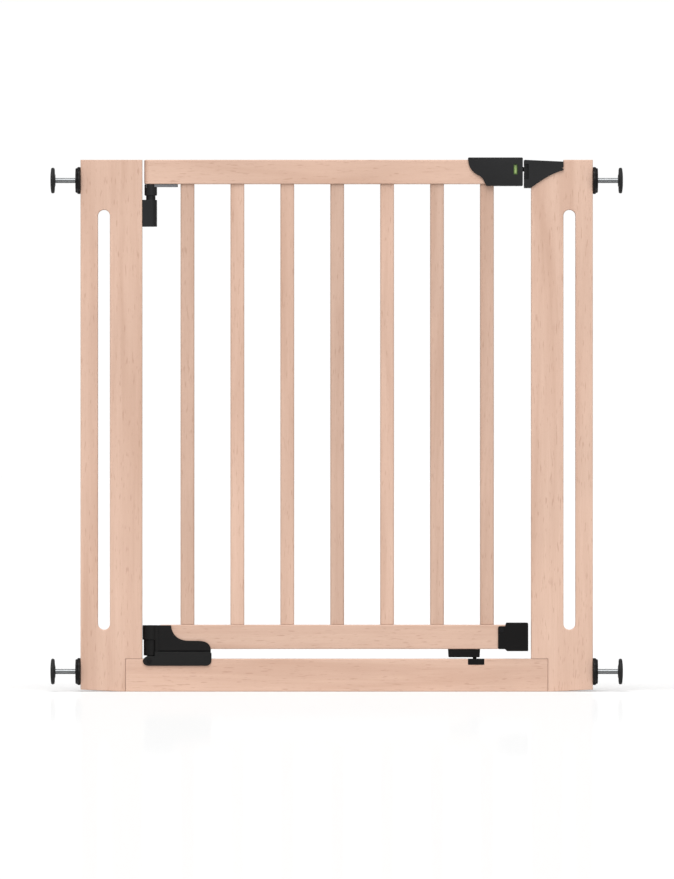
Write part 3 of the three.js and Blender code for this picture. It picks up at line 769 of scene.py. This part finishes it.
def make_panel(side, seed):
    """A side panel. Both are shaped as the right one, and the left one is then mirrored."""
    node = side + "_panel"
    x, y, z = box_of("right_panel")
    middle = x[1] - SLOT_INSET
    top = z[1] - SLOT_BELOW_TOP - SLOT_RADIUS
    foot = SLOT_ABOVE_FLOOR + SLOT_RADIUS
    slot = arc((middle, top), SLOT_RADIUS, 0, 180, 20) + arc((middle, foot), SLOT_RADIUS, 180, 360, 20)
    lap_end = box_of("base_bar")[0][1]
    lap = block((x[0] - PAST, lap_end + GAP), (y[0] - 5, GAP / 2), (-PAST, lap_height() + GAP))
    bores = []
    for level in ("top", "bottom"):
        rod = box_of(f"spindle_{level}_right")
        height = (rod[2][0] + rod[2][1]) / 2
        bore = cylinder(ROD_BORE, rod[0][0] - ROD_BORE_DEPTH, x[1] + PAST, 40)
        bores.append(placed(bore, Matrix.Rotation(math.pi / 2, 4, "Y"), (0, 0, height)))
    body = prism("y", panel_outline(), y, (BOARD_EDGE, BOARD_EDGE), [slot])
    if side == "left":
        flip = Matrix.Scale(-1, 4, (1, 0, 0))
        for form in (body, lap, *bores):
            bmesh.ops.transform(form, matrix=flip, verts=form.verts)
            bmesh.ops.reverse_faces(form, faces=form.faces)
    cuts = [keep_room()] if side == "right" else []
    hung_by = "bracket_screw" if side == "left" else "keep_screw"
    cuts += [lap, *bores, *screw_holes("base_screw_" + side, hung_by)]
    return build(node + "_board", [node], body, beech("beech_" + node, seed), cuts=cuts)


def make_base_bar():
    x, y, z = box_of("base_bar")
    inner = box_of("right_panel")[0][0] - GAP
    block_x, _, block_z = box_of("stop_block")
    body = prism("y", rectangle(*x, *z), y, (BOARD_EDGE, BOARD_EDGE))
    ends = ((x[0] - PAST, -inner), (inner, x[1] + PAST))
    laps = [block(end, (-GAP / 2, y[1] + PAST), (-PAST, z[1] + PAST)) for end in ends]
    notch_y = (y[0] - PAST, y[1] + PAST)
    notch = block(widened(block_x), notch_y, (block_z[0] - GAP, z[1] + PAST))
    cuts = [*laps, notch, *screw_holes("base_screw", "foot_screw", "stop_block_screw")]
    wood = beech("beech_base_bar", 5.2, 1.0, True)
    return build("base_bar_board", ["base_bar"], body, wood, cuts=cuts)


def mortises(low, high):
    """Room for the bars' tenons between those heights, in a rail."""
    wide, thick = TENON[0] + GAP, TENON[1] + GAP
    rooms = []
    for i in range(1, len(BAR_TONES) + 1):
        x, _, _ = box_of(f"bar_{i}")
        middle = (x[0] + x[1]) / 2
        rooms.append(block((middle - wide, middle + wide), (-thick, thick), (low, high)))
    return rooms


def make_top_rail():
    x, y, z = box_of("top_rail")
    pivot = x[0] + y[1]
    outline = [(x[1], y[0]), (x[1], y[1])] + arc((pivot, 0), y[1], 90, 270, 24)
    body = prism("z", outline, z, (BOARD_EDGE, BOARD_EDGE))
    cuts = mortises(z[0] - 5, z[0] + TENON_DEPTH + GAP)
    cuts += screw_holes("plate_screw", "latch_cover_screw_rail")
    wood = beech("beech_top_rail", 7.7, 1.02, True)
    return build("top_rail_board", ["top_rail"], body, wood, cuts=cuts)


def make_bottom_rail():
    x, y, z = box_of("bottom_rail")
    body = prism("z", rectangle(*x, *y), z, (BOARD_EDGE, BOARD_EDGE))
    pin_x, _, _ = box_of("stop_pin")
    pin_middle = (pin_x[0] + pin_x[1]) / 2
    pin_room = cylinder(PIN_BORE, z[0] - 5, z[0] + 9, 32)
    cuts = mortises(z[1] - TENON_DEPTH - GAP, z[1] + 5) + [placed(pin_room, at=(pin_middle, 0, 0))]
    cuts += screw_holes("hinge_cover_screw", "end_cap_screw", "stop_housing_screw")
    wood = beech("beech_bottom_rail", 9.4, 0.95, True)
    return build("bottom_rail_board", ["bottom_rail"], body, wood, cuts=cuts)


def make_bar(number, tone):
    node = f"bar_{number}"
    x, y, z = box_of(node)
    shoulder = (box_of("bottom_rail")[2][1] + GAP, box_of("top_rail")[2][0] - GAP)
    outline = rounded(rectangle(*x, *y), 3, 6)
    shaft = prism("z", outline, shoulder, (0.3, 0.3), steps=2)
    middle = (x[0] + x[1]) / 2
    wide, thick = TENON
    tenon = block((middle - wide, middle + wide), (-thick, thick), z, 0.6)
    wood = beech("beech_" + node, 11.3 + 3.1 * number, tone)
    return build(f"{node}_rod", [node], shaft, wood, [tenon])


# ---- Hinges ----

NECK = 7.25  # radius of the top barrel's neck, in the bracket
POST = 6  # radius of the foot's post, in the bottom hinge's cover
POST_TOP = 62
SOCKET_TOP = 63
FOOT_STEP = -279  # where the foot drops to its lobe


def make_top_hinge(plastic, steel):
    x, y, z = box_of("top_hinge_bracket")
    radius = y[1]
    pivot = x[1] - radius
    outline = [(x[0], -radius), (pivot, -radius)]
    outline += arc((pivot, 0), radius, -90, 90, 24) + [(x[0], radius)]
    _, _, barrel_z = box_of("top_hinge_barrel")
    bore = cylinder(NECK + GAP, barrel_z[0] - 1, z[1] + 5, 40)
    body = prism("z", outline, z, (PLASTIC_EDGE, PLASTIC_EDGE))
    cuts = [placed(bore, at=(pivot, 0, 0)), *screw_holes("bracket_screw")]
    build("top_hinge_bracket_casting", ["top_hinge_bracket"], body, plastic, cuts=cuts)
    face = z[1] + 6.5
    low, high = barrel_z
    barrel = turned([
        (0, low), (NECK - 1, low), (NECK, low + 1), (NECK, face), (radius - 1.1, face),
        (radius - 0.35, face + 0.35), (radius, face + 1.1), (radius, high - 0.5),
        (radius - 0.3, high - 0.1), (radius - 0.6, high), (0, high),
    ], 64)
    barrel = placed(barrel, at=(pivot, 0, 0))
    plate_x, plate_y, plate_z = box_of("top_hinge_plate")
    seat = block((plate_x[0] - GAP, pivot + 20), widened(plate_y), (plate_z[0] - GAP, 790))
    build("top_hinge_barrel_turning", ["top_hinge_barrel"], barrel, plastic, cuts=[seat])
    strip = prism("z", rounded(rectangle(*plate_x, *plate_y), 2.5, 6), plate_z, (0.35, 0.35), steps=3)
    cuts = screw_holes("plate_screw")
    build("top_hinge_plate_strip", ["top_hinge_plate"], strip, steel, cuts=cuts)


def make_bottom_hinge(plastic, foot_plastic):
    foot_x, foot_y, foot_z = box_of("bottom_hinge_foot")
    cover_x, cover_y, cover_z = box_of("bottom_hinge_cover")
    rail_x, rail_y, rail_z = box_of("bottom_rail")
    pivot = box_of("top_rail")[0][0] + rail_y[1]
    at_pivot = (pivot, 0, 0)
    rail_room = widened(rail_y)
    half = cover_y[1]
    narrow, wide, step = 10.9, pivot - cover_x[0], 79.5
    socket = POST + GAP
    web = foot_z[0] + 21.5
    right = cover_x[1]
    low, high = cover_z
    barrel = turned([
        (0, SOCKET_TOP), (socket, SOCKET_TOP), (socket, low), (narrow - 0.5, low), (narrow, low + 0.5),
        (narrow, step - 0.6), (wide, step + 0.4), (wide, high - 0.9), (wide - 0.25, high - 0.25),
        (wide - 0.9, high), (0, high),
    ], 72)
    ledge = web + 16.8
    shoulder = (right - 32.5, ledge)
    outline = [(pivot, web), (right, web), (right, web + 3)]
    outline += bezier(outline[-1], (right, web + 11.5), (right - 6.2, ledge), (right - 19.3, ledge), 14)
    outline.append(shoulder)
    neck = (right - 60.6, high - 0.2)
    outline += bezier(shoulder, (right - 50, ledge), (right - 59.5, web + 26), neck, 14)
    crease = pivot + 12.7
    outline[0] = (pivot + 7, web)
    core = prism("y", outline + [(pivot + 7, high - 0.2)], (-10.4, 10.4))
    outline[0] = (crease, web)
    outline[-1] = (outline[-1][0], high)
    face = prism("y", outline + [(crease, high)], (-half, half), (PLASTIC_EDGE, PLASTIC_EDGE))
    pocket = block((rail_x[0] - GAP, 0), rail_room, (rail_z[0] - GAP, high + PAST))
    gap_x, gap_z = (crease + 0.9, right + PAST), (web - PAST, web + 2.3)
    shadow_gap = block(gap_x, (-half - PAST, -half + 4), gap_z)
    crease_z = (web + 0.7, high + PAST)
    crease_line = block((crease - 0.4, crease + 0.5), (-half - PAST, -half + 2.6), crease_z)
    cuts = [shadow_gap, crease_line, pocket, *screw_holes("hinge_cover_screw")]
    barrel = placed(barrel, at=at_pivot)
    build("bottom_hinge_cover_moulding", ["bottom_hinge_cover"], barrel, plastic, [core, face], cuts)

    low, top, lobe_top = foot_z[0], web - GAP, foot_z[0] + 14.5
    lobe = (lobe_top - low) / 2
    outline = [(FOOT_STEP, lobe_top), (FOOT_STEP, top)]
    outline += arc((foot_x[1] - 3, top - 3), 3, 90, 0, 8) + arc((foot_x[1] - 8, low + 8), 8, 0, -90, 14)
    outline += arc((foot_x[0] + lobe + 1.5, low + lobe), (lobe + 1.5, lobe), -90, -270, 18)
    body = prism("y", outline, foot_y, (PLASTIC_EDGE, PLASTIC_EDGE))
    saddle = block((foot_x[0] - PAST, foot_x[1] + PAST), rail_room, (low - PAST, lap_height() + GAP))
    turning = cylinder(narrow + 0.4, lobe_top, top + PAST, 56)
    post = turned([
        (0, lobe_top - 1), (POST, lobe_top - 1), (POST, POST_TOP - 0.8), (POST - 0.5, POST_TOP - 0.1),
        (POST - 1.2, POST_TOP), (0, POST_TOP),
    ], 40)
    cuts = [saddle, placed(turning, at=at_pivot), *screw_holes("foot_screw")]
    piece = build("bottom_hinge_foot_moulding", ["bottom_hinge_foot"], body, foot_plastic, cuts=cuts)
    combined(piece, [placed(post, at=at_pivot)], "UNION")


# ---- Latch ----

WINDOW = ((270.8, 277.2), (792, 808))  # over the lock indicator, along the gate and upwards
TONGUE = ((-3.5, 3.5), (797, 804))  # the bolt's tongue, across the gate and upwards
CARRIAGE = (256, 276)
SPRING_ROOM = (251, 270)
SPRING_BORE = 4.2  # radius
BOLT_LINE = 800.5
THUMB_SLOT = ((252.4, 269.6), (796.4, 803.6))
THUMB_STEM = ((261, 269), (797, 803))
THUMB_RIBS = 5


def latch_outline():
    x, _, z = box_of("latch_housing")
    start = (x[0], z[1])
    waist = (x[0] + 17.8, z[1] - 28.4)
    foot = (x[0] + 28.6, z[0])
    outline = [(x[1], z[0]), (x[1], z[1]), start]
    outline += bezier(start, (x[0], waist[1] + 13.1), (x[0] + 6.4, waist[1] + 5.6), waist, 14)
    outline += bezier(waist, (waist[0] + 6.8, waist[1] - 3.7), (foot[0] - 4.5, waist[1] - 8.9), foot, 12)
    radii = [1.5, 1.5, 1.5] + [0] * (len(outline) - 3)
    return rounded(outline, radii, 5)


def make_latch(plastic, green, steel):
    x, y, z = box_of("latch_housing")
    cover_y = box_of("latch_rear_cover")[1]
    rail_z = box_of("top_rail")[2]
    bolt_x, bolt_y, bolt_z = box_of("latch_bolt")
    pane_x, pane_y, pane_z = box_of("lock_indicator")
    wall = cover_y[1] - cover_y[0]
    outline = latch_outline()
    housing = prism("y", outline, y, (PLASTIC_EDGE, 0))
    room = block((x[0] - 12, x[1] - wall), (y[0] + wall, y[1] + PAST), widened(rail_z))
    boss_x, _, boss_z = screw_facts("latch_cover_screw_boss")[1]
    boss = prism("y", arc((boss_x, boss_z), 3.9, 0, 360, 28), (y[0] + 1, y[1]))
    tongue_y, tongue_z = TONGUE
    tongue_room = block((x[1] - 5, x[1] + 5), widened(tongue_y), widened(tongue_z))
    window = block(WINDOW[0], (y[0] - 5, y[0] + wall + 1), WINDOW[1], 0.8)
    bar_x, bar_y, _ = box_of(f"bar_{len(BAR_TONES)}")
    bar_room_y = (bar_y[0] - GAP, y[1] + PAST)
    bar_room = block((x[0] - 5, bar_x[1] + GAP), bar_room_y, (z[0] - PAST, rail_z[0]))
    piece = build("latch_housing_moulding", ["latch_housing"], housing, plastic, cuts=[room])
    combined(piece, [boss], "UNION")
    cuts = [tongue_room, window, bar_room, *screw_holes("latch_cover_screw_boss")]
    combined(piece, cuts, "DIFFERENCE")

    cover = prism("y", outline, cover_y, (0, PLASTIC_EDGE))
    slot = block(THUMB_SLOT[0], (0, cover_y[1] + PAST), THUMB_SLOT[1], 0.4)
    cuts = [slot, *screw_holes("latch_cover_screw")]
    build("latch_rear_cover_moulding", ["latch_rear_cover"], cover, plastic, cuts=cuts)

    carriage = block(CARRIAGE, bolt_y, bolt_z, 0.4)
    tongue = block((CARRIAGE[1] - 1, bolt_x[1]), tongue_y, tongue_z, 0.5)
    spring_room = cylinder(SPRING_BORE, *SPRING_ROOM, 32)
    spring_room = placed(spring_room, Matrix.Rotation(math.pi / 2, 4, "Y"), (0, 0, BOLT_LINE))
    build("latch_bolt_moulding", ["latch_bolt"], carriage, plastic, [tongue], [spring_room])

    pane = block(pane_x, pane_y, pane_z, 0.3)
    build("lock_indicator_pane", ["lock_indicator"], pane, green)

    make_thumb_slide(plastic)
    make_latch_spring(steel)


def make_thumb_slide(plastic):
    x, y, z = box_of("thumb_slide")
    face = box_of("latch_rear_cover")[1][1] + GAP
    pad_face = face + 2.4
    pad = prism("y", rounded(rectangle(*x, *z), 2.2, 6), (face, pad_face), (0.2, 0.9))
    stem = block(THUMB_STEM[0], (y[0], face + 1), THUMB_STEM[1], 0.3)
    ribs = []
    for i in range(THUMB_RIBS):
        middle = (x[0] + x[1]) / 2 + (i - (THUMB_RIBS - 1) / 2) * 4.5
        rib = turned([(0, -7.5), (0.8, -7.3), (0.8, 7.3), (0, 7.5)], 20)
        ribs.append(placed(rib, Matrix.Scale(1.5, 4, (0, 1, 0)), (middle, pad_face, (z[0] + z[1]) / 2)))
    build("thumb_slide_moulding", ["thumb_slide"], pad, plastic, [stem, *ribs])


def make_latch_spring(steel):
    """A compression spring between the rail's end and the bolt's carriage."""
    x, _, z = box_of("latch_spring")
    middle = (z[0] + z[1]) / 2
    wire, coil, turns, sides, steps = 0.45, 3.0, 8, 8, 20
    bm = bmesh.new()
    rings = []
    total = turns * steps
    length = x[1] - x[0] - 2 * wire
    for k in range(total + 1):
        share = k / total
        angle = share * turns * 2 * math.pi
        rise = share * share * (3 - 2 * share)
        along = x[0] + wire + length * (0.6 * share + 0.4 * rise)
        centre = Vector((along, coil * math.cos(angle), coil * math.sin(angle)))
        away = Vector((0, math.cos(angle), math.sin(angle)))
        ring = []
        for i in range(sides):
            spin = 2 * math.pi * i / sides
            round_wire = away * math.cos(spin) + Vector((math.sin(spin), 0, 0))
            ring.append(bm.verts.new(centre + wire * round_wire))
        rings.append(ring)
    for lower, upper in zip(rings, rings[1:]):
        join_rings(bm, lower, upper)
    bm.faces.new(rings[0][::-1])
    bm.faces.new(rings[-1])
    bmesh.ops.recalc_face_normals(bm, faces=bm.faces)
    piece = build("latch_spring_wire", ["latch_spring"], placed(bm, at=(0, 0, middle)), steel)
    piece.modifiers.clear()
    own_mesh(piece)


def make_keep(plastic):
    x, y, z = box_of("latch_keep")
    tip = z[1] - 2.8
    notch = [(x[1], tip), (x[1], z[0] + 32), (x[1] - 3.8, z[0] + 30.2), (x[1], z[0] + 29.6)]
    steps = 5
    corners = rounded([(x[0], z[0]), (x[0], z[1]), (x[1], tip), (x[1], z[0])], [1.2, 1.4, 0, 0], steps)
    left_edge = corners[: 2 * (steps + 1)]
    outline = left_edge + notch + keep_line() + [(x[0] + 10, z[0])]
    body = prism("y", outline, y, (PLASTIC_EDGE, PLASTIC_EDGE))
    pocket = block((x[0] - 5, x[0] + 8), (-4.5, y[1] + PAST), (795, 806))
    groove = block((x[0] + 2, x[0] + 6.9), (y[0] - PAST, y[0] + 6), (785.2, 808.3), 0.5)
    cuts = [pocket, groove, *screw_holes("keep_screw")]
    build("latch_keep_moulding", ["latch_keep"], body, plastic, cuts=cuts)


# ---- End cap and swing stop ----

STOP_PIN = 3  # radius


def make_end_cap(plastic):
    x, y, z = box_of("end_cap")
    rail_x, rail_y, rail_z = box_of("bottom_rail")
    step = x[0] + 11.8
    low, high = rail_z[0] - 0.2, rail_z[1] - 2.1
    outline = [
        (x[0], low), (step - 1, low), (step + 2, z[0]), (x[1], z[0]),
        (x[1], z[1]), (step + 1, z[1]), (step - 1, high), (x[0], high),
    ]
    outline = rounded(outline, [2.4, 0.6, 1.1, 1.2, 2, 1.1, 0.6, 3], 5)
    body = prism("y", outline, y, (PLASTIC_EDGE, PLASTIC_EDGE))
    pocket = block((x[0] - 5, rail_x[1] + GAP), widened(rail_y), widened(rail_z))
    build("end_cap_moulding", ["end_cap"], body, plastic, cuts=[pocket, *screw_holes("end_cap_screw")])


def make_swing_stop(plastic):
    x, y, z = box_of("stop_housing")
    outline = [(x[0] + 0.7, z[0]), (x[1] - 0.7, z[0]), (x[1], z[1]), (x[0], z[1])]
    outline = rounded(outline, [1.3, 1.3, 0, 0], 5)
    body = prism("y", outline, y, (PLASTIC_EDGE, PLASTIC_EDGE))
    pin_x, pin_y, pin_z = box_of("stop_pin")
    middle = (pin_x[0] + pin_x[1]) / 2
    bore = cylinder(STOP_PIN + GAP, z[0] - 5, z[1] + PAST, 40)
    tab_room = block((middle - 2.2, middle + 2.2), (0, y[1] + PAST), (z[0] + 2.2, z[1] + PAST))
    cuts = [placed(bore, at=(middle, 0, 0)), tab_room, *screw_holes("stop_housing_screw")]
    build("stop_housing_moulding", ["stop_housing"], body, plastic, cuts=cuts)
    low, high = pin_z
    pin = turned([
        (0, low), (STOP_PIN - 1.2, low), (STOP_PIN - 0.4, low + 0.3), (STOP_PIN, low + 1.1),
        (STOP_PIN, high - 0.4), (STOP_PIN - 0.4, high), (0, high),
    ], 40)
    tab = block((middle - 1.8, middle + 1.8), (1, pin_y[1]), (z[0] + 2.6, z[0] + 5.6), 0.5)
    build("stop_pin_turning", ["stop_pin"], placed(pin, at=(middle, 0, 0)), plastic, [tab])
    block_x, block_y, block_z = box_of("stop_block")
    outline = rounded(rectangle(*block_x, *block_z), 0.8)
    body = prism("y", outline, block_y, (PLASTIC_EDGE, PLASTIC_EDGE))
    groove = block((middle - 3.8, middle + 3.8), (-3.6, block_y[1] + PAST), (48, block_z[1] + PAST))
    cuts = [groove, *screw_holes("stop_block_screw")]
    build("stop_block_moulding", ["stop_block"], body, plastic, cuts=cuts)


# ---- Pressure spindles ----

WHEEL_RADIUS = 21.4
WHEEL_BORE = 4.4  # radius
WHEEL_LOBES = 10
WHEEL_LOBE_DEPTH = 0.9
ROD_RADIUS = 4
ROD_ROOT = 3.4  # radius at the bottom of the thread
ROD_PITCH = 1.25
PAD_BORE = 4.3  # radius
PAD_FACE = 4.4  # thickness of the pad over the rod's end


def outward(side):
    """Turns a form built about Z, with its wall side up, to lie along the gate on that side."""
    return Matrix.Rotation(math.pi / 2 if side == "right" else -math.pi / 2, 4, "Y")


def make_spindle(level, side, plastic, steel, rubber):
    """One spindle: the handwheel, the threaded rod and the wall pad, all round one line."""
    end = f"{level}_{side}"
    rod_x, _, rod_z = box_of("spindle_" + end)
    wheel_x, _, _ = box_of("handwheel_" + end)
    pad_x, _, pad_z = box_of("wall_pad_" + end)
    at = (0, 0, sum(rod_z) / 2)
    turn = outward(side)
    inner, outer = sorted(abs(value) for value in wheel_x)

    def lobed(angle, reach):
        depth = WHEEL_LOBE_DEPTH * min(1.0, max(0.0, (reach - 12) / 6))
        return reach - depth * (0.5 + 0.5 * math.cos(WHEEL_LOBES * angle))

    rim = WHEEL_RADIUS
    tier = rim - 1.8
    profile = [
        (WHEEL_BORE, inner), (rim - 1.2, inner), (rim - 0.35, inner + 0.35), (rim, inner + 1.2),
        (rim, inner + 3.4), (rim - 0.3, inner + 4.1), (tier + 0.5, inner + 4.9),
        (tier, inner + 5.3), (tier - 0.1, outer - 0.9), (tier - 0.8, outer - 0.2), (tier - 1.6, outer),
        (11, outer), (10.4, outer - 0.3), (9.8, outer - 1.2), (8.6, outer - 1.2), (8.2, outer - 0.2),
        (7.8, outer), (5.2, outer), (WHEEL_BORE, outer - 0.8),
    ]
    wheel_form = placed(turned(profile, WHEEL_LOBES * 12, lobed), turn, at)
    build(f"handwheel_{end}_moulding", ["handwheel_" + end], wheel_form, plastic)

    tip, stem = sorted(abs(value) for value in rod_x)
    envelope = [
        (ROD_RADIUS - 0.8, tip), (ROD_RADIUS, tip + 1), (ROD_RADIUS, outer), (ROD_RADIUS, stem - 0.9),
        (ROD_RADIUS - 0.7, stem),
    ]
    thread = placed(threaded(envelope, ROD_ROOT, ROD_PITCH, outer), turn, at)
    build(f"spindle_{end}_thread", ["spindle_" + end], thread, steel, smooth_angle=50)

    low, high = sorted(abs(value) for value in pad_x)
    rim = (pad_z[1] - pad_z[0]) / 2
    bore_end = high - PAD_FACE
    profile = [
        (0, bore_end), (PAD_BORE, bore_end), (PAD_BORE, low), (8.4, low), (9.2, low + 0.3),
        (11, low + 0.8), (rim - 3.2, low + 1.0), (rim - 1.4, low + 1.3), (rim - 0.5, low + 2.0),
        (rim - 0.1, low + 3.2),
        (rim, high - 3.4), (rim - 0.2, high - 2.2), (rim - 0.8, high - 1.4), (rim - 2, high - 0.95),
        (rim - 4.4, high - 0.6), (rim - 4.7, high - 0.95), (rim - 5.6, high - 0.9),
        (rim - 5.9, high - 0.45), (rim - 8.6, high - 0.15), (rim - 8.9, high - 0.6),
        (rim - 9.8, high - 0.55), (rim - 10.1, high - 0.05), (8.6, high), (0, high),
    ]
    pad = placed(turned(profile, 72), turn, at)
    build(f"wall_pad_{end}_moulding", ["wall_pad_" + end], pad, rubber)


# ---- Assembly ----

make_camera()
make_light()
make_floor()

satin_black = moulded_plastic("satin_black_plastic", linear(27, 27, 28), 0.2)
deep_black = moulded_plastic("deep_black_plastic", linear(18, 17, 17), 0.13)
stop_black = moulded_plastic("stop_black_plastic", linear(14, 13, 13), 0.1)
dark_black = moulded_plastic("dark_black_plastic", linear(22, 22, 22), 0.15)
zinc = plated_steel("bright_zinc", linear(172, 174, 177))
black_zinc = plated_steel("black_zinc", linear(40, 40, 41), 0.5)
rod_steel = plated_steel("drawn_rod_steel", linear(112, 114, 115), 0.13)
dark_strip = plated_steel("dark_strip_steel", linear(120, 121, 124), 0.38)
pad_rubber = moulded_rubber("pad_rubber")
indicator_green = green_plastic("indicator_green")

make_panel("left", 1.1)
make_panel("right", 3.9)
make_base_bar()
make_top_rail()
make_bottom_rail()
for index, bar_tone in enumerate(BAR_TONES):
    make_bar(index + 1, bar_tone)
make_top_hinge(satin_black, dark_strip)
make_bottom_hinge(deep_black, dark_black)
make_latch(satin_black, indicator_green, zinc)
make_keep(satin_black)
make_end_cap(stop_black)
make_swing_stop(stop_black)
for level in ("top", "bottom"):
    for side in ("right", "left"):
        make_spindle(level, side, deep_black, rod_steel, pad_rubber)
for screw_node in screw_names():
    make_screw(screw_node, black_zinc if screw_node in FRONT_SCREWS else zinc)
